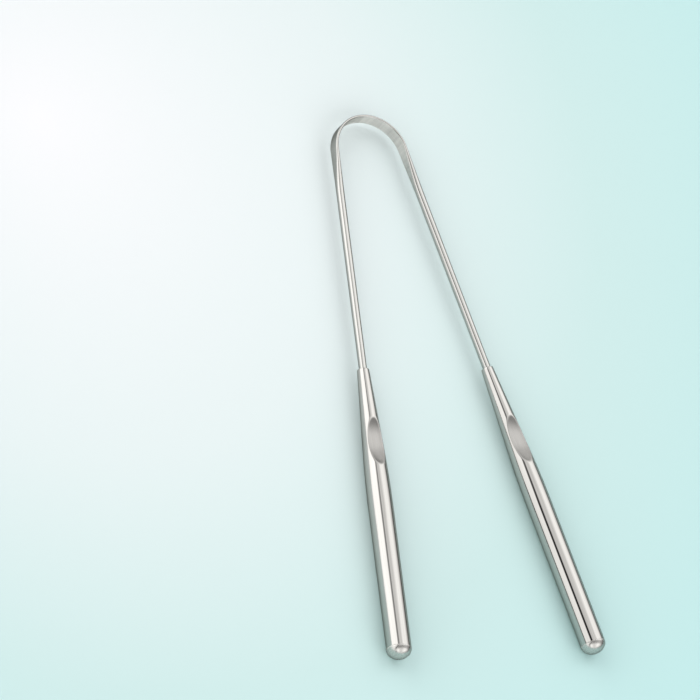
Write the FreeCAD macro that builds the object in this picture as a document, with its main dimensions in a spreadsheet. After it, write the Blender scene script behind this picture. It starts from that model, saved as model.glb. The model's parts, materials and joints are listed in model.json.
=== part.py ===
import FreeCAD, Part
import math
import os

import Sketcher
from FreeCAD import Placement, Rotation, Vector

# A U-shaped tongue scraper that lies flat: X across, +Y towards the crown, +Z up out of the loop's plane.
# One wire is bent to a U and rolled flat at the crown. Each end is held in the neck of a hollow handle.
# Lengths are in millimetres and angles in degrees.

driving_sizes = [
    ("half_splay", 7.5, "angle of each arm from the centre line"),
    ("crown_radius", 10.3, "crown bend, to the middle of the band"),
    ("band_width", 3.8, "flattened band, across the loop's plane"),
    ("band_thickness", 0.7, "flattened band, along the bend's radius"),
    ("band_corner", 0.22, "rounding of the band's corners"),
    ("shoulder_length", 14.0, "run over which the band turns back into round wire"),
    ("flex_gap", 0.2, "slit below each shoulder, where the loop's flex is modelled"),
    ("rod_diameter", 2.1, "round wire"),
    ("rod_land", 0.03, "half of the flat left on each side of the shoulder's round end"),
    ("rod_reach", 63.4, "end of the bend to the handle's mouth, along the arm"),
    ("socket_depth", 12.0, "length of wire held in the neck"),
    ("fit_clearance", 0.02, "radial clearance of the wire and of the end cap's spigot"),
    ("mouth_diameter", 3.16, "handle at its mouth"),
    ("handle_diameter", 6.5, "handle where it is straight"),
    ("taper_length", 39.6, "mouth to the straight part"),
    ("blend_length", 16.0, "end of the taper that is rounded into the straight part"),
    ("tube_length", 78.6, "mouth to the end cap"),
    ("handle_wall", 0.5, "wall of the tube"),
    ("dent_centre", 20.3, "mouth to the deepest point of the thumb dent"),
    ("dent_floor", 1.47, "handle's axis to the dent's floor"),
    ("dent_along", 10.5, "half axis of the dent's form along the handle"),
    ("dent_across", 7.9, "half axis of the dent's form across the handle"),
    ("dent_height", 5.0, "half axis of the dent's form out of the handle"),
    ("dome_height", 2.6, "rounded end of the handle"),
    ("seam_depth", 0.1, "chamfer that draws the line between tube and end cap"),
    ("spigot_length", 5.0, "end cap's plug in the tube"),
]
sides = {"left": -1, "right": 1}

doc = FreeCAD.newDocument("tongue_scraper")
sheet = doc.addObject("Spreadsheet::Sheet", "sizes")
for row, (alias, value, note) in enumerate(driving_sizes, start=1):
    sheet.set("A%d" % row, note)
    sheet.set("B%d" % row, str(value))
    sheet.setAlias("B%d" % row, alias)
doc.recompute()

# Starting numbers for sketches, which the expressions then hold to the sheet
size = {alias: float(sheet.get(alias)) for alias, value, note in driving_sizes}

# Expressions for what follows from the driving sizes
mouth_radius = "sizes.mouth_diameter / 2"
handle_radius = "sizes.handle_diameter / 2"
bore_radius = "(sizes.rod_diameter / 2 + sizes.fit_clearance)"
hollow_radius = "(sizes.handle_diameter / 2 - sizes.handle_wall)"
shoulder_x = "sizes.crown_radius * cos(sizes.half_splay)"
shoulder_y = "sizes.crown_radius * sin(sizes.half_splay)"
arm_start = "(sizes.shoulder_length + sizes.flex_gap)"
dome_reach = (
    "sqrt((sizes.dome_height * cos(sizes.half_splay)) ^ 2"
    " + (sizes.handle_diameter / 2 * sin(sizes.half_splay)) ^ 2)"
)
crown_to_end = (
    "(sizes.rod_reach + sizes.tube_length) * cos(sizes.half_splay)"
    " - " + shoulder_y + " + " + dome_reach
)
crown_y = "(%s - sizes.crown_radius - sizes.band_thickness / 2) / 2" % crown_to_end


def bind(thing, **expressions):
    for name, expression in expressions.items():
        thing.setExpression(name.replace("__", "."), expression)


def place_on_arm(thing, side, below):
    # The piece's own -Y axis runs down the arm, and its origin lies this far below the end of the bend.
    thing.Placement = Placement(Vector(), Rotation(Vector(0, 0, sides[side]), size["half_splay"]))
    bind(
        thing,
        Placement__Base__x="%d * (%s + (%s) * sin(sizes.half_splay))" % (sides[side], shoulder_x, below),
        Placement__Base__y="%s + %s - (%s) * cos(sizes.half_splay)" % (crown_y, shoulder_y, below),
        Placement__Base__z=handle_radius,
        Placement__Rotation__Angle="sizes.half_splay",
    )


def origin_feature(body, role):
    return next(f for f in body.Origin.OriginFeatures if f.Role == role)


def add_sketch(body, name, plane):
    sketch = body.newObject("Sketcher::SketchObject", name)
    sketch.AttachmentSupport = [(origin_feature(body, plane), "")]
    sketch.MapMode = "FlatFace"
    return sketch


def hold(sketch, kind, *where):
    return sketch.addConstraint(Sketcher.Constraint(kind, *where))


def set_size(sketch, name, expression, kind, *where):
    # where ends with the starting number
    sketch.renameConstraint(hold(sketch, kind, *where), name)
    sketch.setExpression("Constraints." + name, expression)


def add_line(sketch, start, end):
    return sketch.addGeometry(Part.LineSegment(Vector(*start, 0), Vector(*end, 0)), False)


def revolve(body, sketch, axis, angle=None):
    turned = body.newObject("PartDesign::Revolution", sketch.Name + "_turned")
    turned.Profile = sketch
    turned.ReferenceAxis = (origin_feature(body, axis), [""])
    turned.Angle = 360
    if angle:
        turned.Midplane = True
        bind(turned, Angle=angle)
    return turned


def draw_section(sketch, centre, thick, tall, corner):
    # A rounded rectangle, centred on the sketch's X axis. Each size is a pair: expression and starting number.
    x, half_x, half_y, r = centre[1], thick[1] / 2, tall[1] / 2, corner[1]
    arcs = []
    for quarter, (across, up) in enumerate(((1, 1), (-1, 1), (-1, -1), (1, -1))):
        middle = Vector(x + across * (half_x - r), up * (half_y - r), 0)
        circle = Part.Circle(middle, Vector(0, 0, 1), r)
        arcs.append(Part.ArcOfCircle(circle, quarter * math.pi / 2, (quarter + 1) * math.pi / 2))
    next_arcs = arcs[1:] + arcs[:1]
    corners = [sketch.addGeometry(arc, False) for arc in arcs]
    lines = [
        sketch.addGeometry(Part.LineSegment(arc.EndPoint, following.StartPoint), False)
        for arc, following in zip(arcs, next_arcs)
    ]
    for before, line, after in zip(corners, lines, corners[1:] + corners[:1]):
        hold(sketch, "Tangent", before, 2, line, 1)
        hold(sketch, "Tangent", line, 2, after, 1)
    top, left, bottom, right = lines
    hold(sketch, "Horizontal", top)
    hold(sketch, "Horizontal", bottom)
    hold(sketch, "Vertical", left)
    hold(sketch, "Symmetric", right, 1, right, 2, -1)
    for other in corners[1:]:
        hold(sketch, "Equal", corners[0], other)
    set_size(sketch, "corner", corner[0], "Radius", corners[0], r)
    set_size(sketch, "thick", thick[0], "DistanceX", left, 1, right, 1, thick[1])
    set_size(sketch, "tall", tall[0], "DistanceY", bottom, 1, top, 1, tall[1])
    outside = "%s + %s / 2" % (centre[0], thick[0])
    set_size(sketch, "outside", outside, "DistanceX", -1, 1, right, 1, x + half_x)


def make_blade():
    # The crown is one turned band. A shoulder at each end brings the band back to round wire.
    body = doc.addObject("PartDesign::Body", "scraper_blade")
    bind(body, Placement__Base__y=crown_y, Placement__Base__z=handle_radius)
    thick = ("sizes.band_thickness", size["band_thickness"])
    tall = ("sizes.band_width", size["band_width"])
    corner = ("sizes.band_corner", size["band_corner"])
    round_size = ("sizes.rod_diameter", size["rod_diameter"])
    round_corner = ("sizes.rod_diameter / 2 - sizes.rod_land", size["rod_diameter"] / 2 - size["rod_land"])
    crown = add_sketch(body, "crown_section", "YZ_Plane")
    draw_section(crown, ("sizes.crown_radius", size["crown_radius"]), thick, tall, corner)
    revolve(body, crown, "Z_Axis", "180 - 2 * sizes.half_splay")
    for side, sign in sides.items():
        sections = []
        for name, below in (("band", "0"), ("round", "sizes.shoulder_length")):
            sketch = add_sketch(body, "%s_%s_section" % (side, name), "XZ_Plane")
            sketch.AttachmentOffset = Placement(Vector(), Rotation(Vector(0, sign, 0), size["half_splay"]))
            bind(
                sketch,
                AttachmentOffset__Base__x="%d * (%s + %s * sin(sizes.half_splay))" % (sign, shoulder_x, below),
                AttachmentOffset__Base__z="%s * cos(sizes.half_splay) - %s" % (below, shoulder_y),
                AttachmentOffset__Rotation__Angle="sizes.half_splay",
            )
            if name == "band":
                draw_section(sketch, ("0", 0), thick, tall, corner)
            else:
                draw_section(sketch, ("0", 0), round_size, round_size, round_corner)
            sections.append(sketch)
        shoulder = body.newObject("PartDesign::AdditiveLoft", side + "_shoulder")
        shoulder.Profile = sections[0]
        shoulder.Sections = [sections[1]]
    return body


def make_arm(side):
    body = doc.addObject("PartDesign::Body", side + "_arm")
    sketch = add_sketch(body, side + "_arm_section", "XZ_Plane")
    radius = size["rod_diameter"] / 2
    sketch.addGeometry(Part.Circle(Vector(), Vector(0, 0, 1), radius), False)
    hold(sketch, "Coincident", 0, 3, -1, 1)
    set_size(sketch, "rod", "sizes.rod_diameter", "Diameter", 0, size["rod_diameter"])
    rod = body.newObject("PartDesign::Pad", side + "_rod")
    rod.Profile = sketch
    bind(rod, Length="sizes.rod_reach + sizes.socket_depth - %s" % arm_start)
    place_on_arm(body, side, arm_start)
    return body


def draw_taper(sketch, start, wide):
    # The straight taper, its arc and the straight part, tangent to each other. Returns the two lines' numbers.
    # wide is a pair: expression and starting number. start is only the taper's starting point.
    taper, blend, tube = size["taper_length"], size["blend_length"], size["tube_length"]
    turn = (wide[1] - start[0]) / (taper + start[1] - blend / 2)
    bend = blend / math.sin(turn)
    circle = Part.Circle(Vector(wide[1] - bend, -taper, 0), Vector(0, 0, 1), bend)
    arc = Part.ArcOfCircle(circle, 0, turn)
    curve = sketch.addGeometry(arc, False)
    cone = add_line(sketch, start, (arc.EndPoint.x, arc.EndPoint.y))
    straight = add_line(sketch, (wide[1], -taper), (wide[1], -tube))
    hold(sketch, "Tangent", cone, 2, curve, 2)
    hold(sketch, "Tangent", curve, 1, straight, 1)
    hold(sketch, "Vertical", straight)
    set_size(sketch, "wide", wide[0], "DistanceX", -1, 1, straight, 1, wide[1])
    set_size(sketch, "taper", "sizes.taper_length", "DistanceY", straight, 1, -1, 1, taper)
    set_size(sketch, "blend", "sizes.blend_length", "DistanceY", straight, 1, cone, 2, blend)
    return cone, straight


def make_handle_outside(side):
    body = doc.addObject("PartDesign::Body", side + "_handle_outside")
    sketch = add_sketch(body, side + "_outside_profile", "XY_Plane")
    mouth, radius = size["mouth_diameter"] / 2, size["handle_diameter"] / 2
    tube, seam = size["tube_length"], size["seam_depth"]
    cone, straight = draw_taper(sketch, (mouth, 0), (handle_radius, radius))
    rim = add_line(sketch, (0, 0), (mouth, 0))
    chamfer = add_line(sketch, (radius, seam - tube), (radius - seam, -tube))
    end = add_line(sketch, (radius - seam, -tube), (0, -tube))
    axis = add_line(sketch, (0, -tube), (0, 0))
    for a, b in ((rim, cone), (straight, chamfer), (chamfer, end), (end, axis)):
        hold(sketch, "Coincident", a, 2, b, 1)
    hold(sketch, "Coincident", axis, 2, -1, 1)
    hold(sketch, "Coincident", rim, 1, -1, 1)
    hold(sketch, "Horizontal", rim)
    hold(sketch, "Horizontal", end)
    hold(sketch, "Vertical", axis)
    set_size(sketch, "mouth", mouth_radius, "DistanceX", -1, 1, rim, 2, mouth)
    set_size(sketch, "tube", "sizes.tube_length", "DistanceY", axis, 1, -1, 1, tube)
    set_size(sketch, "seam_out", "sizes.seam_depth", "DistanceX", chamfer, 2, chamfer, 1, seam)
    set_size(sketch, "seam_up", "sizes.seam_depth", "DistanceY", chamfer, 2, chamfer, 1, seam)
    revolve(body, sketch, "Y_Axis")
    press_dent(body, side + "_dent", "0")
    return body


def make_handle_hollow(side):
    # The socket for the wire, then the room inside the tube, which keeps its wall under the thumb dent.
    body = doc.addObject("PartDesign::Body", side + "_handle_hollow")
    sketch = add_sketch(body, side + "_hollow_profile", "XY_Plane")
    bore, socket = size["rod_diameter"] / 2 + size["fit_clearance"], size["socket_depth"]
    wall, tube = size["handle_wall"], size["tube_length"]
    inner = size["mouth_diameter"] / 2 - wall
    radius = size["handle_diameter"] / 2 - wall
    start = inner + (radius - inner) * socket / size["taper_length"]
    cone, straight = draw_taper(sketch, (start, -socket), (hollow_radius, radius))
    guide = add_line(sketch, (inner, 0), (start, -socket))
    sketch.toggleConstruction(guide)
    mouth = add_line(sketch, (0, 0), (bore, 0))
    wire = add_line(sketch, (bore, 0), (bore, -socket))
    step = add_line(sketch, (bore, -socket), (start, -socket))
    end = add_line(sketch, (radius, -tube), (0, -tube))
    axis = add_line(sketch, (0, -tube), (0, 0))
    for a, b in ((mouth, wire), (wire, step), (step, cone), (straight, end), (end, axis)):
        hold(sketch, "Coincident", a, 2, b, 1)
    hold(sketch, "Coincident", axis, 2, -1, 1)
    hold(sketch, "Coincident", mouth, 1, -1, 1)
    for line in (mouth, step, end):
        hold(sketch, "Horizontal", line)
    for line in (wire, axis):
        hold(sketch, "Vertical", line)
    hold(sketch, "PointOnObject", guide, 1, -1)
    hold(sketch, "Tangent", guide, 2, cone, 1)
    set_size(sketch, "inner", mouth_radius + " - sizes.handle_wall", "DistanceX", -1, 1, guide, 1, inner)
    set_size(sketch, "bore", bore_radius, "DistanceX", -1, 1, mouth, 2, bore)
    set_size(sketch, "socket", "sizes.socket_depth", "DistanceY", wire, 2, -1, 1, socket)
    set_size(sketch, "tube", "sizes.tube_length", "DistanceY", axis, 1, -1, 1, tube)
    revolve(body, sketch, "Y_Axis")
    press_dent(body, side + "_dent_inside", "sizes.handle_wall")
    return body


def press_dent(body, name, grown):
    dent = body.newObject("PartDesign::SubtractiveEllipsoid", name)
    bind(
        dent,
        Radius1="sizes.dent_height + " + grown,
        Radius2="sizes.dent_across + " + grown,
        Radius3="sizes.dent_along + " + grown,
        Placement__Base__y="-sizes.dent_centre",
        Placement__Base__z="sizes.dent_floor + sizes.dent_height",
    )


def make_handle(side):
    handle = doc.addObject("Part::Cut", side + "_handle")
    handle.Base = make_handle_outside(side)
    handle.Tool = make_handle_hollow(side)
    place_on_arm(handle, side, "sizes.rod_reach")
    return handle


def make_end_cap(side):
    dome = doc.addObject("Part::Ellipsoid", side + "_dome")
    dome.Angle1 = 0
    dome.Placement.Rotation = Rotation(Vector(1, 0, 0), 90)
    bind(dome, Radius1="sizes.dome_height", Radius2=handle_radius, Radius3=handle_radius)
    spigot = doc.addObject("Part::Cylinder", side + "_spigot")
    spigot.Placement.Rotation = Rotation(Vector(1, 0, 0), -90)
    bind(spigot, Radius=hollow_radius + " - sizes.fit_clearance", Height="sizes.spigot_length")
    cap = doc.addObject("Part::Fuse", side + "_end_cap")
    cap.Base = dome
    cap.Tool = spigot
    place_on_arm(cap, side, "sizes.rod_reach + sizes.tube_length")
    return cap


pieces = [make_blade()]
for side in sides:
    pieces += [make_arm(side), make_handle(side), make_end_cap(side)]
doc.recompute()

for thing in doc.Objects:
    if "Invalid" in thing.State or "Error" in thing.State:
        raise RuntimeError("%s failed: %s" % (thing.Name, thing.State))
for piece in pieces:
    if piece.Shape.isNull() or not piece.Shape.isValid() or len(piece.Shape.Solids) != 1:
        raise RuntimeError("%s is not one valid solid" % piece.Label)

os.makedirs("parts", exist_ok=True)
for piece in pieces:
    piece.Shape.exportStep(os.path.join("parts", piece.Label + ".step"))
    box = piece.Shape.optimalBoundingBox()
    print(
        "%-16s volume %8.2f mm3  x %7.2f to %7.2f  y %7.2f to %7.2f  z %6.2f to %6.2f"
        % (piece.Label, piece.Shape.Volume, box.XMin, box.XMax, box.YMin, box.YMax, box.ZMin, box.ZMax)
    )
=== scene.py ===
import json
import math

import bmesh
import bpy
from mathutils import Matrix, Vector


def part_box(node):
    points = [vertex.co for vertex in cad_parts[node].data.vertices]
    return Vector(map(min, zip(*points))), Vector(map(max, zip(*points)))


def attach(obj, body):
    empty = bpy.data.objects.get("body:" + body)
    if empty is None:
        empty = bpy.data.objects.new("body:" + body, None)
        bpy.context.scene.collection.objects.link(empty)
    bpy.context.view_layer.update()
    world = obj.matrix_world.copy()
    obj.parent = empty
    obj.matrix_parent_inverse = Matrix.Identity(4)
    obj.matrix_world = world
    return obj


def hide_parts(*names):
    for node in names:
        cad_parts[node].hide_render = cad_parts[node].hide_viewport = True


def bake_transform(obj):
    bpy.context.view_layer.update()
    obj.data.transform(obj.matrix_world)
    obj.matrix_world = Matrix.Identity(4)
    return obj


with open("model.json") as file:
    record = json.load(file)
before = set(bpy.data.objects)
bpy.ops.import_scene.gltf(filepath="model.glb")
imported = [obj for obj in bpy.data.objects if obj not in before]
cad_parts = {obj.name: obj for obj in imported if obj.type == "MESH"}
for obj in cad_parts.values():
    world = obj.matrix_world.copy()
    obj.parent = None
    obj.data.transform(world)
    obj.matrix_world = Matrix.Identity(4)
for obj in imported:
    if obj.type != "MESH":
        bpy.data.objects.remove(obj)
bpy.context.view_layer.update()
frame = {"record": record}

# A steel tongue scraper that lies flat on a pale floor, seen from the photograph's side.
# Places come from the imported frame. Sizes are metres, written as millimetres times mm.
mm = 0.001
sides = {"left": -1, "right": 1}
scene = bpy.context.scene

mounts = {mount["name"]: mount for mount in frame["record"]["mounts"]}
shank = mounts["right_handle_shank"]
handleRadius = shank["dims"]["r_mm"] * mm
midHeight = shank["pos_m"][2]
splay = math.atan2(abs(shank["axis"][0]), abs(shank["axis"][1]))  # each arm's angle from the centre line

bladeLow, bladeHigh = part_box("scraper_blade")
bandWidth = bladeHigh.z - bladeLow.z
armLow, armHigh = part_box("right_arm")
rodRadius = (armHigh.z - armLow.z) / 2
upward = Vector((0, 0, 1))


def armAxis(sign):  # down the arm, from the crown to the handle
    return Vector((sign * math.sin(splay), -math.cos(splay), 0))


def armOut(sign):  # away from the loop's inside, square to the arm
    return Vector((sign * math.cos(splay), math.sin(splay), 0))


# Materials

def hexColor(text):  # sRGB hex to linear
    parts = [int(text[i:i + 2], 16) / 255 for i in (1, 3, 5)]
    return [c / 12.92 if c <= 0.04045 else ((c + 0.055) / 1.055) ** 2.4 for c in parts] + [1]


def addNode(tree, kind, settings=None, links=None):
    node = tree.nodes.new(kind)
    for name, value in (settings or {}).items():
        if isinstance(name, int) or name in node.inputs:
            node.inputs[name].default_value = value
        else:
            setattr(node, name, value)
    for name, socket in (links or {}).items():
        tree.links.new(socket, node.inputs[name])
    return node


def startMaterial(name):
    material = bpy.data.materials.new(name)
    material.use_nodes = True
    tree = material.node_tree
    return material, tree, tree.nodes["Principled BSDF"]


def setRamp(node, stops):
    ramp = node.color_ramp
    while len(ramp.elements) < len(stops):
        ramp.elements.new(0.5)
    for element, (place, color) in zip(ramp.elements, stops):
        element.position = place
        element.color = color


lineNoise = dict(
    detail=3.0,
    roughness=0.6,
    low=0.3,  # most of a noise's values lie between low and high
    high=0.7,
)


def finishSteel(tree, shader, place, look, paintedSheenTone=None):
    # A noise shades, dulls and ripples the metal. Stretched along it, it gives drawing and polishing lines.
    # An attribute marks where the metal has a duller satin finish. There the colour is also scaled by a
    # gain, or by a given tone socket where there is one: painted shade that darkens the thumb dent, and a
    # painted reflection that makes the rolled face paler.
    satinAndPaintedShading = addNode(tree, "ShaderNodeAttribute", {"attribute_name": "satinAndPaintedShading"}).outputs["Fac"]
    lines = addNode(
        tree, "ShaderNodeTexNoise",
        {
            "Scale": 1 / look["lineSpacing"],
            "Detail": lineNoise["detail"],
            "Roughness": lineNoise["roughness"],
        },
        {"Vector": place},
    )
    tone = addNode(tree, "ShaderNodeValToRGB", links={"Fac": lines.outputs["Fac"]})
    low, high = lineNoise["low"], lineNoise["high"]
    setRamp(tone, [(low, hexColor(look["darkTone"])), (high, hexColor(look["lightTone"]))])
    gain = addNode(
        tree, "ShaderNodeMapRange", {"To Min": 1.0, "To Max": look["satinPaintedShadeAndSheen"]}, {"Value": satinAndPaintedShading}
    )
    if paintedSheenTone:
        tree.links.new(paintedSheenTone, gain.inputs["To Max"])
    color = addNode(
        tree, "ShaderNodeVectorMath", {"operation": "SCALE"},
        {0: tone.outputs["Color"], "Scale": gain.outputs[0]},
    )
    gloss = addNode(
        tree, "ShaderNodeMapRange",
        {"From Min": low, "From Max": high, "To Min": look["roughness"][0], "To Max": look["roughness"][1]},
        {"Value": lines.outputs["Fac"]},
    )
    roughness = addNode(
        tree, "ShaderNodeMath", {"operation": "MULTIPLY_ADD", 1: look["satinExtra"]},
        {0: satinAndPaintedShading, 2: gloss.outputs[0]},
    )
    ripple = addNode(
        tree, "ShaderNodeBump",
        {"Strength": look["ripple"], "Distance": look["rippleDepth"]},
        {"Height": lines.outputs["Fac"]},
    )
    shader.inputs["Metallic"].default_value = 1.0
    shader.inputs["Specular Tint"].default_value = hexColor(look["edgeTone"])
    tree.links.new(color.outputs[0], shader.inputs["Base Color"])
    tree.links.new(roughness.outputs[0], shader.inputs["Roughness"])
    tree.links.new(ripple.outputs["Normal"], shader.inputs["Normal"])


polishedTube = dict(
    lineSpacing=0.35 * mm,  # coarser than real polishing lines, so that they show
    lineStretch=0.02,  # lines are this much less busy along the tube
    darkTone="#b3b1ad",
    lightTone="#bcbab6",
    edgeTone="#a6a6a4",
    roughness=(0.035, 0.055),
    satinPaintedShadeAndSheen=0.66,  # painted shade: the dent's colour is painted darker than the tube's by this share
    satinExtra=0.13,  # roughness that the satin adds
    ripple=0.02,
    rippleDepth=0.02 * mm,
)


def makePolishedTube(side, mouth):
    # Polished stainless tube: crisp, slightly warm reflections,
    # with a satin thumb dent where the polishing wheel can't reach, its colour painted darker there as
    # painted shade
    material, tree, shader = startMaterial("polishedStainlessTube." + side)
    spot = addNode(tree, "ShaderNodeTexCoord")
    place = addNode(
        tree, "ShaderNodeMapping",
        {
            "vector_type": "TEXTURE",
            "Location": mouth,
            "Rotation": (0, 0, sides[side] * splay),
            "Scale": (1, 1 / polishedTube["lineStretch"], 1),
        },
        {"Vector": spot.outputs["Object"]},
    )
    finishSteel(tree, shader, place.outputs[0], polishedTube)
    return material


drawnWire = dict(
    lineSpacing=0.20 * mm,  # coarser than real die lines, so that they show
    lineStretch=0.02,  # lines are this much less busy along the wire
    darkTone="#b0afab",
    lightTone="#bcbbb7",
    edgeTone="#8c8c8a",
    roughness=(0.04, 0.06),
    satinPaintedShadeAndSheen=1.60,  # painted reflection: the rolled face's colour is painted this much paler than the round wire's
    satinExtra=0.45,
    smear=0.85,  # the lines smear reflections across the wire
    markSpacing=1.6 * mm,  # marks that the rolls leave across the wire
    markTones=(0.88, 1.08),
    ripple=0.03,
    rippleDepth=0.02 * mm,
)


def makeDrawnWire():
    # Drawn stainless wire: bright, with fine lines left by the die that smear what it mirrors.
    # Where it is rolled flat it has a satin face, painted paler as a painted reflection.
    material, tree, shader = startMaterial("drawnStainlessWire")
    swept = addNode(tree, "ShaderNodeAttribute", {"attribute_name": "sweptPlace"})
    place = addNode(
        tree, "ShaderNodeMapping",
        {"vector_type": "POINT", "Scale": (1, 1, drawnWire["lineStretch"])},
        {"Vector": swept.outputs["Vector"]},
    )
    along = addNode(tree, "ShaderNodeSeparateXYZ", links={"Vector": swept.outputs["Vector"]}).outputs["Z"]
    marks = addNode(
        tree, "ShaderNodeTexNoise",
        {"noise_dimensions": "1D", "Scale": 1 / drawnWire["markSpacing"], "Detail": lineNoise["detail"]},
        {"W": along},
    )
    # the rolled face's tone: roll marks on top of a painted reflection that makes the face paler
    lowest, highest = (tone * drawnWire["satinPaintedShadeAndSheen"] for tone in drawnWire["markTones"])
    gain = addNode(
        tree, "ShaderNodeMapRange",
        {"From Min": lineNoise["low"], "From Max": lineNoise["high"], "To Min": lowest, "To Max": highest},
        {"Value": marks.outputs["Fac"]},
    )
    finishSteel(tree, shader, place.outputs[0], drawnWire, gain.outputs[0])
    across = addNode(tree, "ShaderNodeAttribute", {"attribute_name": "acrossWay"})
    across = addNode(
        tree, "ShaderNodeVectorTransform",
        {"vector_type": "VECTOR", "convert_from": "OBJECT", "convert_to": "WORLD"},
        {"Vector": across.outputs["Vector"]},
    )
    shader.inputs["Anisotropic"].default_value = drawnWire["smear"]
    tree.links.new(across.outputs[0], shader.inputs["Tangent"])
    return material


cappedEnd = dict(
    lineSpacing=0.5 * mm,  # size of the faint unevenness that tumbling leaves
    darkTone="#bebcb8",
    lightTone="#c8c6c2",
    edgeTone="#a6a6a4",
    roughness=(0.26, 0.29),
    satinPaintedShadeAndSheen=1.0,  # the domes have no satin patch
    satinExtra=0.0,
    ripple=0.004,
    rippleDepth=0.02 * mm,
)


def makeCappedEnd():
    # Tumbled stainless: a dome too small for the wheel, which mirrors the room softly and without lines
    material, tree, shader = startMaterial("tumbledStainlessDome")
    spot = addNode(tree, "ShaderNodeTexCoord")
    finishSteel(tree, shader, spot.outputs["Object"], cappedEnd)
    return material


# Mesh helpers

def newRing(bm, ring):  # extrudes a ring of edges and gives back the new ring
    made = bmesh.ops.extrude_edge_only(bm, edges=ring)["geom"]
    fresh = {v for v in made if isinstance(v, bmesh.types.BMVert)}
    return [e for e in made if isinstance(e, bmesh.types.BMEdge) and set(e.verts) <= fresh]


def ringVerts(ring):
    return list({v for edge in ring for v in edge.verts})


def closeEnds(bm):
    made = bmesh.ops.holes_fill(bm, edges=[e for e in bm.edges if e.is_boundary], sides=0)
    for face in made["faces"]:
        for edge in face.edges:
            edge.smooth = False


def toPiece(bm, name, body, node, material):
    bmesh.ops.recalc_face_normals(bm, faces=bm.faces)
    for face in bm.faces:
        face.smooth = True
    mesh = bpy.data.meshes.new(name)
    bm.to_mesh(mesh)
    bm.free()
    mesh.materials.append(material)
    piece = bpy.data.objects.new(name, mesh)
    scene.collection.objects.link(piece)
    if body:
        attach(piece, body)
    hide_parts(node)
    print("made", name, "with", len(mesh.polygons), "faces")
    return piece


# The blade: wire rolled flat round the crown. The sections along the whole loop are worked out here.

blade = dict(
    crownRadius=10.3 * mm,  # to the middle of the band
    bandThickness=0.7 * mm,
    bandCorner=0.33 * mm,
    shoulderLength=14.0 * mm,
    flareLead=3.5 * mm,  # stretch of the bend in which the band already narrows
    outerSatinAndSheen=0.25,  # the outer face has this share of the inner face's satin and painted reflection
    faceFrom=0.8,  # satin and its painted reflection start where the surface faces inwards or outwards by this share
    roundLand=0.03 * mm,  # keeps the ring's points apart where it is round
    cornerSteps=10,
    bendSteps=118,
    shoulderSteps=28,
)
crownCentre = Vector((0, bladeHigh.y - blade["crownRadius"] - blade["bandThickness"] / 2, midHeight))
halfBend = blade["crownRadius"] * (math.pi / 2 - splay)  # length of the bend from its middle to a shoulder


def shoulderPoint(sign):
    return crownCentre + armOut(sign) * blade["crownRadius"]


def roundShare(along):  # 0 where the band is flat, 1 where it is round wire
    run = blade["shoulderLength"] + blade["flareLead"]
    share = min(max((abs(along) - halfBend + blade["flareLead"]) / run, 0), 1)
    return share * share * (3 - 2 * share)


def bandSection(along):  # half thickness, half width and corner at this distance from the crown's middle
    flat = (blade["bandThickness"] / 2, bandWidth / 2, blade["bandCorner"])
    rounded = (rodRadius, rodRadius, rodRadius - blade["roundLand"])
    return [a + (b - a) * roundShare(along) for a, b in zip(flat, rounded)]


def loopPlace(point):  # distance along the loop from the crown's middle, the point there, and outward
    spoke = point - crownCentre
    sign = 1 if spoke.x > 0 else -1
    below = (point - shoulderPoint(sign)).dot(armAxis(sign))
    if below > 0:
        return sign * (halfBend + below), shoulderPoint(sign) + armAxis(sign) * below, armOut(sign)
    outward = Vector((spoke.x, spoke.y, 0)).normalized()
    turn = math.atan2(spoke.x, spoke.y)
    return turn * blade["crownRadius"], crownCentre + outward * blade["crownRadius"], outward


def startRing(bm, sign):  # the flat section's outline at the top of a shoulder
    bmesh.ops.create_grid(bm, x_segments=1, y_segments=1, size=0.5)
    bmesh.ops.scale(bm, vec=(blade["bandThickness"], bandWidth, 1), verts=bm.verts)
    bmesh.ops.bevel(
        bm, geom=bm.verts[:], affect="VERTICES", offset=blade["bandCorner"],
        segments=blade["cornerSteps"], profile=0.5, material=-1,
    )
    axes = Matrix((armOut(sign), upward, armOut(sign).cross(upward))).transposed()
    bmesh.ops.transform(bm, matrix=Matrix.Translation(shoulderPoint(sign)) @ axes.to_4x4(), verts=bm.verts)
    bmesh.ops.delete(bm, geom=bm.faces[:], context="FACES_ONLY")
    return bm.edges[:]


def growRings(bm, ring, step, count):
    for _ in range(count):
        ring = newRing(bm, ring)
        bmesh.ops.translate(bm, vec=step, verts=ringVerts(ring))
    return ring


def shapeWire(bm):  # from the flat section to the one that belongs at each place
    swept = bm.verts.layers.float_vector.new("sweptPlace")
    across = bm.verts.layers.float_vector.new("acrossWay")
    satinAndPaintedShading = bm.verts.layers.float.new("satinAndPaintedShading")
    half = (blade["bandThickness"] / 2, bandWidth / 2, blade["bandCorner"])
    for v in bm.verts:
        along, middle, outward = loopPlace(v.co)
        flatX, flatZ = (v.co - middle).dot(outward), v.co.z - midHeight
        signX, signZ = math.copysign(1, flatX), math.copysign(1, flatZ)
        turn = math.atan2(flatZ - signZ * (half[1] - half[2]), flatX - signX * (half[0] - half[2]))
        thick, wide, corner = bandSection(along)
        x = signX * (thick - corner) + corner * math.cos(turn)
        z = signZ * (wide - corner) + corner * math.sin(turn)
        v.co = middle + outward * x + upward * z
        v[swept] = (x, z, along)
        v[across] = upward * math.cos(turn) - outward * math.sin(turn)
        facing = abs(math.cos(turn))  # 1 on the broad faces, 0 at the edges
        flatness = max(facing - blade["faceFrom"], 0) / (1 - blade["faceFrom"]) * (1 - roundShare(along))
        # satin finish, which also carries the rolled face's painted reflection
        v[satinAndPaintedShading] = flatness * (blade["outerSatinAndSheen"] if math.cos(turn) > 0 else 1)


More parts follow.
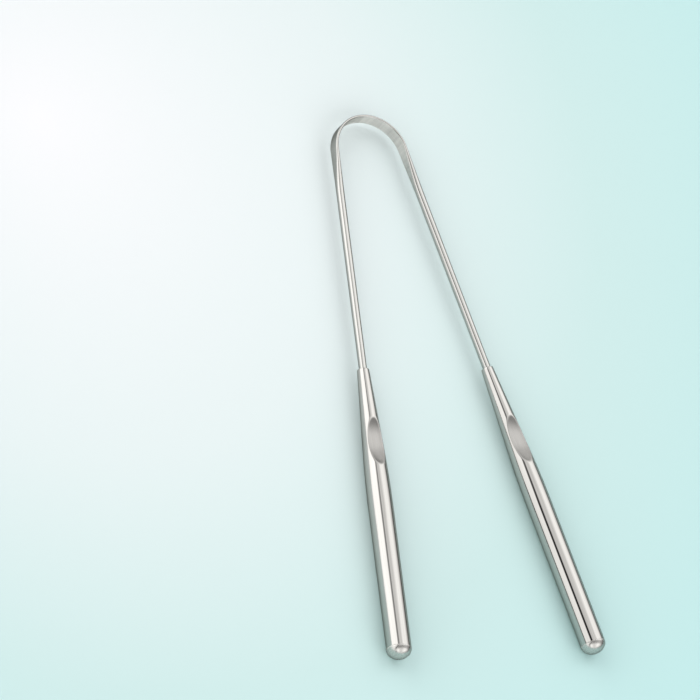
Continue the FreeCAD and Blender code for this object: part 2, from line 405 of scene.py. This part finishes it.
def makeBlade(material):
    bm = bmesh.new()
    ring = startRing(bm, 1)
    bmesh.ops.spin(
        bm, geom=bm.verts[:] + ring, cent=crownCentre, axis=upward,
        angle=math.pi - 2 * splay, steps=blade["bendSteps"], use_merge=False,
    )
    closeEnds(bm)
    shapeWire(bm)
    toPiece(bm, "scraperBlade", "blade", "scraper_blade", material)


# The arms: each turns from the flat band into round wire and runs into its handle.

arm = dict(
    spacing=1.0 * mm,  # between rings on the round wire
    insertion=2.5 * mm,  # wire inside the handle's mouth
    flexLength=28.0 * mm,  # a stretch round the hinge, half of it on each side
)


def makeArm(side, mouth, material):
    sign = sides[side]
    down = armAxis(sign)
    hinge = shoulderPoint(sign) + down * blade["shoulderLength"]
    length = (mouth - hinge).length + arm["insertion"]
    count = round(length / arm["spacing"])
    bm = bmesh.new()
    ring = startRing(bm, sign)
    shoulderSpacing = blade["shoulderLength"] / blade["shoulderSteps"]
    ring = growRings(bm, ring, down * shoulderSpacing, blade["shoulderSteps"])
    growRings(bm, ring, down * (length / count), count)
    closeEnds(bm)
    shapeWire(bm)
    piece = toPiece(bm, side + "Arm", None, side + "_arm", material)
    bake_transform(piece)


# The handles: tapered tubes with a thumb dent

handle = dict(
    mouthRadius=1.58 * mm,
    mouthRounding=0.12 * mm,
    mouthSteps=4,
    boreRadius=1.07 * mm,
    boreDepth=3.0 * mm,
    taperLength=39.6 * mm,
    blendLength=16.0 * mm,
    tubeLength=78.6 * mm,
    straightEnd=78.5 * mm,  # mouth to the end of the straight part
    seamDepth=0.05 * mm,
    dentCentre=20.3 * mm,  # mouth to the dent's deepest point
    dentFloor=1.47 * mm,  # tube's axis to the dent's floor
    dentAlong=10.5 * mm,
    dentAcross=7.9 * mm,
    dentHeight=5.0 * mm,
    rimRounding=0.20 * mm,
    satinAndShadeLead=0.3,  # satin finish and painted shade at the rim's middle line, before they grow to 1 inside the dent
    halvings=24,  # steps in which a point finds the dented surface
    fineStart=6.0 * mm,  # stretch with rings close enough for the dent's rim
    fineEnd=33.0 * mm,
    leadCuts=10,
    fineCuts=179,
    plainCuts=40,
    turnSteps=144,
    mergeWithin=0.001 * mm,
    sharpAngle=30.0,  # degrees, past which an edge is drawn sharp
)


def tubeRadius(below):  # a straight taper, rounded at its end into the straight tube
    slope = (handleRadius - handle["mouthRadius"]) / (handle["taperLength"] - handle["blendLength"] / 2)
    left = handle["taperLength"] - below
    if left > handle["blendLength"]:
        return handle["mouthRadius"] + slope * below
    return handleRadius - slope * max(left, 0) ** 2 / (2 * handle["blendLength"])


def outsideTube(x, y, z):  # distance outside the plain tube, in the handle's own axes
    return math.hypot(x, z) - tubeRadius(-y)


def insideDent(x, y, z):  # about the depth of a point inside the dent's form
    scaled = Vector((
        x / handle["dentAcross"],
        (y + handle["dentCentre"]) / handle["dentAlong"],
        (z - handle["dentFloor"]) / handle["dentHeight"] - 1,
    ))
    return (1 - scaled.length) * handle["dentHeight"]


def roundedMax(a, b, size):
    return max(a, b) + max(size - abs(a - b), 0) ** 2 / (4 * size)


def pressDent(bm, satinAndPaintedShading):
    # Each point slides towards the axis until it lies on the tube with the dent's rounded rim taken away.
    for v in bm.verts:
        x, y, z = v.co
        if z <= 0 or not handle["fineStart"] <= -y <= handle["fineEnd"]:
            continue
        low, high = 0.0, 1.0
        for _ in range(handle["halvings"]):
            share = (low + high) / 2
            at = (x * share, y, z * share)
            if roundedMax(outsideTube(*at), insideDent(*at), handle["rimRounding"]) > 0:
                high = share
            else:
                low = share
        v.co = (x * low, y, z * low)
        edge = insideDent(*v.co) - outsideTube(*v.co)
        # the dent's satin finish, which also carries the dent's painted shade
        v[satinAndPaintedShading] = min(max(edge / handle["rimRounding"] + handle["satinAndShadeLead"], 0), 1)


def makeHandle(side, mouth):
    bm = bmesh.new()
    satinAndPaintedShading = bm.verts.layers.float.new("satinAndPaintedShading")
    tube, seam = handle["tubeLength"], handle["seamDepth"]
    bore, depth = handle["boreRadius"], handle["boreDepth"]
    corners = [
        (0, depth), (bore, depth), (bore, 0), (handle["mouthRadius"], 0),
        (tubeRadius(handle["fineStart"]), handle["fineStart"]),
        (tubeRadius(handle["fineEnd"]), handle["fineEnd"]),
        (handleRadius, tube - seam), (handleRadius - seam, tube), (0, tube),
    ]
    points = [bm.verts.new((r, -below, 0)) for r, below in corners]
    lines = [bm.edges.new(pair) for pair in zip(points, points[1:])]
    bmesh.ops.subdivide_edges(bm, edges=[lines[3]], cuts=handle["leadCuts"])
    bmesh.ops.subdivide_edges(bm, edges=[lines[4]], cuts=handle["fineCuts"])
    bmesh.ops.subdivide_edges(bm, edges=[lines[5]], cuts=handle["plainCuts"])
    for v in bm.verts:
        if v.co.x > bore and -v.co.y < tube - seam:
            v.co.x = tubeRadius(-v.co.y)
    bmesh.ops.spin(
        bm, geom=bm.verts[:] + bm.edges[:], cent=(0, 0, 0), axis=(0, 1, 0),
        angle=2 * math.pi, steps=handle["turnSteps"], use_merge=True,
    )
    bmesh.ops.remove_doubles(bm, verts=bm.verts, dist=handle["mergeWithin"])
    bmesh.ops.recalc_face_normals(bm, faces=bm.faces)
    midWall = (bore + handle["mouthRadius"]) / 2
    front = {v for v in bm.verts if abs(v.co.y) < handle["mergeWithin"]}
    outer = {v for v in front if math.hypot(v.co.x, v.co.z) > midWall}
    rim = [e for e in bm.edges if set(e.verts) <= outer]
    bmesh.ops.bevel(
        bm, geom=rim, affect="EDGES", offset=handle["mouthRounding"],
        segments=handle["mouthSteps"], profile=0.5, material=-1,
    )
    pressDent(bm, satinAndPaintedShading)
    for edge in bm.edges:
        if edge.is_manifold and edge.calc_face_angle(0) > math.radians(handle["sharpAngle"]):
            edge.smooth = False
    place = Matrix.Translation(mouth) @ Matrix.Rotation(sides[side] * splay, 4, "Z")
    bmesh.ops.transform(bm, matrix=place, verts=bm.verts)
    material = makePolishedTube(side, mouth)
    toPiece(bm, side + "Handle", side + "_side", side + "_handle", material)


# The end caps: domes that close the tubes

cap = dict(
    domeHeight=2.6 * mm,
    turnSteps=144,
    domeSteps=64,
)


def makeEndCap(side, mouth, material):
    sign = sides[side]
    bm = bmesh.new()
    bmesh.ops.create_uvsphere(bm, u_segments=cap["turnSteps"], v_segments=cap["domeSteps"], radius=1)
    bmesh.ops.bisect_plane(
        bm, geom=bm.verts[:] + bm.edges[:] + bm.faces[:], plane_co=(0, 0, 0), plane_no=(0, 0, 1),
        clear_outer=False, clear_inner=True,
    )
    closeEnds(bm)
    bmesh.ops.scale(bm, vec=(handleRadius, handleRadius, cap["domeHeight"]), verts=bm.verts)
    seat = mouth + armAxis(sign) * handle["tubeLength"]
    turn = upward.rotation_difference(armAxis(sign)).to_matrix().to_4x4()
    bmesh.ops.transform(bm, matrix=Matrix.Translation(seat) @ turn, verts=bm.verts)
    toPiece(bm, side + "EndCap", side + "_side", side + "_end_cap", material)


wireSteel = makeDrawnWire()
makeBlade(wireSteel)
capSteel = makeCappedEnd()
for side, sign in sides.items():
    sideShank = mounts[side + "_handle_shank"]
    halfStraight = sideShank["dims"]["length_mm"] * mm / 2
    straightEnd = Vector(sideShank["pos_m"]) + armAxis(sign) * halfStraight
    mouth = straightEnd - armAxis(sign) * handle["straightEnd"]
    makeArm(side, mouth, wireSteel)
    makeHandle(side, mouth)
    makeEndCap(side, mouth, capSteel)


# The floor: pale aqua matt board with a painted pool of light, white on the left and pale aqua on the right
# of the view

floorLook = dict(
    halfSide=8.0,  # metres
    paintedLightSpot=Vector((-93.0, 78.0, 0.0)) * mm,
    fadeLength=240.0 * mm,
    roughness=0.7,
    specular=0.2,
    stops=[(0, "#f7f7f9"), (0.4, "#e4efef"), (0.67, "#cde8e6"), (1, "#bee8e7")],
)


def makeFloor():
    bm = bmesh.new()
    bmesh.ops.create_grid(bm, x_segments=1, y_segments=1, size=floorLook["halfSide"])
    mesh = bpy.data.meshes.new("floor")
    bm.to_mesh(mesh)
    bm.free()
    material, tree, shader = startMaterial("mattBoard")
    spot = addNode(tree, "ShaderNodeTexCoord")
    # painted pool of light: the board is painted white near a spot and fades to its pale aqua further out
    apart = addNode(
        tree, "ShaderNodeVectorMath", {"operation": "DISTANCE", 1: floorLook["paintedLightSpot"]},
        {0: spot.outputs["Object"]},
    )
    fade = addNode(
        tree, "ShaderNodeMath", {"operation": "DIVIDE", 1: floorLook["fadeLength"]},
        {0: apart.outputs["Value"]},
    )
    tone = addNode(tree, "ShaderNodeValToRGB", links={"Fac": fade.outputs[0]})
    setRamp(tone, [(place, hexColor(color)) for place, color in floorLook["stops"]])
    tree.links.new(tone.outputs["Color"], shader.inputs["Base Color"])
    shader.inputs["Roughness"].default_value = floorLook["roughness"]
    shader.inputs["Specular IOR Level"].default_value = floorLook["specular"]
    mesh.materials.append(material)
    floor = bpy.data.objects.new("floor", mesh)
    scene.collection.objects.link(floor)


makeFloor()
print("made the floor")


# Studio light: one soft dome with two panels, the key on the left and one from above it to the right.
# Turns are degrees from the left horizon over the top to the right one. Levels are shares of the strength.

skyLook = dict(
    strength=2.05,
    halfTurn=180.0,  # degrees from horizon to horizon
    keyStops=[(0, 0.86), (8, 0.95), (16, 1.0), (180, 1.0)],
    keyAcross=((0.15, 0.79), (0.55, 1.05)),  # the key panel's level at two places along Y
    topStops=[(0, 1.0), (42, 1.0), (60, 0.56), (95, 0.56), (104, 0.72), (114, 0.90), (138, 0.90),
              (149, 0.75), (161, 0.46), (169, 0.14), (180, 0.04)],
    gapTurn=57.0,  # dark gap between the key panel and the top panel
    seamSoft=1.0,  # half the degrees in which one panel gives way to the other, inside the gap
    gapSkew=45.0,  # how it runs across, in degrees for each unit along Y
    gapSkewFrom=0.235,
    gapHalf=8.0,
    gapSoft=2.5,
    gapAcross=((0.20, 0.03), (0.50, 0.36)),  # the light left in the gap at two places along Y
    # the top panel along Y: bright at the handles' end and again past the middle, with a dark strip between
    topAlongY=[(-1.0, 0.42), (-0.8, 0.53), (-0.6, 0.49), (-0.4, 0.20), (0.0, 0.17), (0.25, 0.5), (0.5, 0.5),
               (0.62, 0.36), (0.8, 0.33), (1.0, 0.15)],
    topGain=2.0,  # on the levels along Y
    evenFrom=0.90,  # towards the ends of Y the panels fade into one even level
    evenTo=0.99,
    evenLevel=0.50,
)


def makeSky():
    world = bpy.data.worlds.new("studioSky")
    scene.world = world
    world.use_nodes = True
    tree = world.node_tree
    spot = addNode(tree, "ShaderNodeTexCoord")
    split = addNode(tree, "ShaderNodeSeparateXYZ", links={"Vector": spot.outputs["Generated"]})
    leftward = addNode(tree, "ShaderNodeMath", {"operation": "MULTIPLY", 1: -1.0}, {0: split.outputs["X"]})
    turn = addNode(
        tree, "ShaderNodeMath", {"operation": "ARCTAN2"}, {0: split.outputs["Z"], 1: leftward.outputs[0]}
    )
    degrees = addNode(tree, "ShaderNodeMath", {"operation": "DEGREES"}, {0: turn.outputs[0]})
    share = addNode(
        tree, "ShaderNodeMath", {"operation": "DIVIDE", 1: skyLook["halfTurn"]}, {0: degrees.outputs[0]}
    )
    levels = []
    for stops in (skyLook["keyStops"], skyLook["topStops"]):
        level = addNode(tree, "ShaderNodeValToRGB", links={"Fac": share.outputs[0]})
        setRamp(level, [(at / skyLook["halfTurn"], (value, value, value, 1)) for at, value in stops])
        levels.append(level.outputs["Color"])
    across = []
    for (fromY, fromLevel), (toY, toLevel) in (skyLook["keyAcross"], skyLook["gapAcross"]):
        ramp = addNode(
            tree, "ShaderNodeMapRange",
            {"From Min": fromY, "From Max": toY, "To Min": fromLevel, "To Max": toLevel},
            {"Value": split.outputs["Y"]},
        )
        across.append(ramp.outputs[0])
    key = addNode(tree, "ShaderNodeMath", {"operation": "MULTIPLY"}, {0: levels[0], 1: across[0]})
    placeY = addNode(tree, "ShaderNodeMapRange", {"From Min": -1.0}, {"Value": split.outputs["Y"]})
    alongY = addNode(tree, "ShaderNodeValToRGB", links={"Fac": placeY.outputs[0]})
    setRamp(alongY, [((y + 1) / 2, (value, value, value, 1)) for y, value in skyLook["topAlongY"]])
    topShape = addNode(
        tree, "ShaderNodeMath", {"operation": "MULTIPLY"}, {0: levels[1], 1: alongY.outputs["Color"]}
    )
    top = addNode(
        tree, "ShaderNodeMath", {"operation": "MULTIPLY", 1: skyLook["topGain"]}, {0: topShape.outputs[0]}
    )
    skew = addNode(
        tree, "ShaderNodeMath", {"operation": "SUBTRACT", 1: skyLook["gapSkewFrom"]},
        {0: split.outputs["Y"]},
    )
    line = addNode(
        tree, "ShaderNodeMath",
        {"operation": "MULTIPLY_ADD", 1: skyLook["gapSkew"], 2: skyLook["gapTurn"]}, {0: skew.outputs[0]},
    )
    past = addNode(
        tree, "ShaderNodeMath", {"operation": "SUBTRACT"}, {0: degrees.outputs[0], 1: line.outputs[0]}
    )
    behind = addNode(
        tree, "ShaderNodeMapRange", {"From Min": -skyLook["seamSoft"], "From Max": skyLook["seamSoft"]},
        {"Value": past.outputs[0]},
    )
    panels = addNode(
        tree, "ShaderNodeMix", {"data_type": "FLOAT"},
        {0: behind.outputs[0], 2: key.outputs[0], 3: top.outputs[0]},
    )
    apart = addNode(tree, "ShaderNodeMath", {"operation": "ABSOLUTE"}, {0: past.outputs[0]})
    gap = addNode(
        tree, "ShaderNodeMapRange",
        {
            "From Min": skyLook["gapHalf"] - skyLook["gapSoft"],
            "From Max": skyLook["gapHalf"] + skyLook["gapSoft"],
        },
        {"Value": apart.outputs[0], "To Min": across[1]},
    )
    parted = addNode(
        tree, "ShaderNodeMath", {"operation": "MULTIPLY"}, {0: panels.outputs[0], 1: gap.outputs[0]}
    )
    farY = addNode(tree, "ShaderNodeMath", {"operation": "ABSOLUTE"}, {0: split.outputs["Y"]})
    even = addNode(
        tree, "ShaderNodeMapRange", {"From Min": skyLook["evenFrom"], "From Max": skyLook["evenTo"]},
        {"Value": farY.outputs[0]},
    )
    mixed = addNode(
        tree, "ShaderNodeMix", {"data_type": "FLOAT", 3: skyLook["evenLevel"]},
        {0: even.outputs[0], 2: parted.outputs[0]},
    )
    light = addNode(
        tree, "ShaderNodeMath", {"operation": "MULTIPLY", 1: skyLook["strength"]}, {0: mixed.outputs[0]}
    )
    background = tree.nodes["Background"]
    background.inputs["Color"].default_value = hexColor("#ffffff")
    tree.links.new(light.outputs[0], background.inputs["Strength"])


makeSky()
print("made the studio light")


# The camera, at the photograph's viewing angle

view = dict(
    azimuth=-54.0,
    elevation=51.0,
    roll=46.3,
    distance=3.0,  # metres
    pixelsPerMetre=3908.0,  # at the part
    originPixel=(423.2, 389.7),  # where the part's origin falls
    frameSide=700,  # pixels
    sensor=36.0,  # millimetres
    clipEnd=50.0,  # metres
)


def makeCamera():
    around, above, roll = (math.radians(view[name]) for name in ("azimuth", "elevation", "roll"))
    back = Vector((
        math.sin(around) * math.cos(above), -math.cos(around) * math.cos(above), math.sin(above)
    ))
    level = Vector((math.cos(around), math.sin(around), 0))
    rise = back.cross(level)
    right = level * math.cos(roll) + rise * math.sin(roll)
    up = rise * math.cos(roll) - level * math.sin(roll)
    middle = view["frameSide"] / 2
    across, down = (place - middle for place in view["originPixel"])
    aim = (up * down - right * across) / view["pixelsPerMetre"]
    data = bpy.data.cameras.new("photoView")
    data.sensor_width = view["sensor"]
    data.lens = view["pixelsPerMetre"] * view["distance"] * view["sensor"] / view["frameSide"]
    data.clip_end = view["clipEnd"]
    camera = bpy.data.objects.new("photoView", data)
    scene.collection.objects.link(camera)
    axes = Matrix((right, up, back)).transposed()
    camera.matrix_world = Matrix.Translation(aim + back * view["distance"]) @ axes.to_4x4()
    scene.camera = camera


makeCamera()
scene.view_settings.view_transform = "Standard"
print("made the camera")
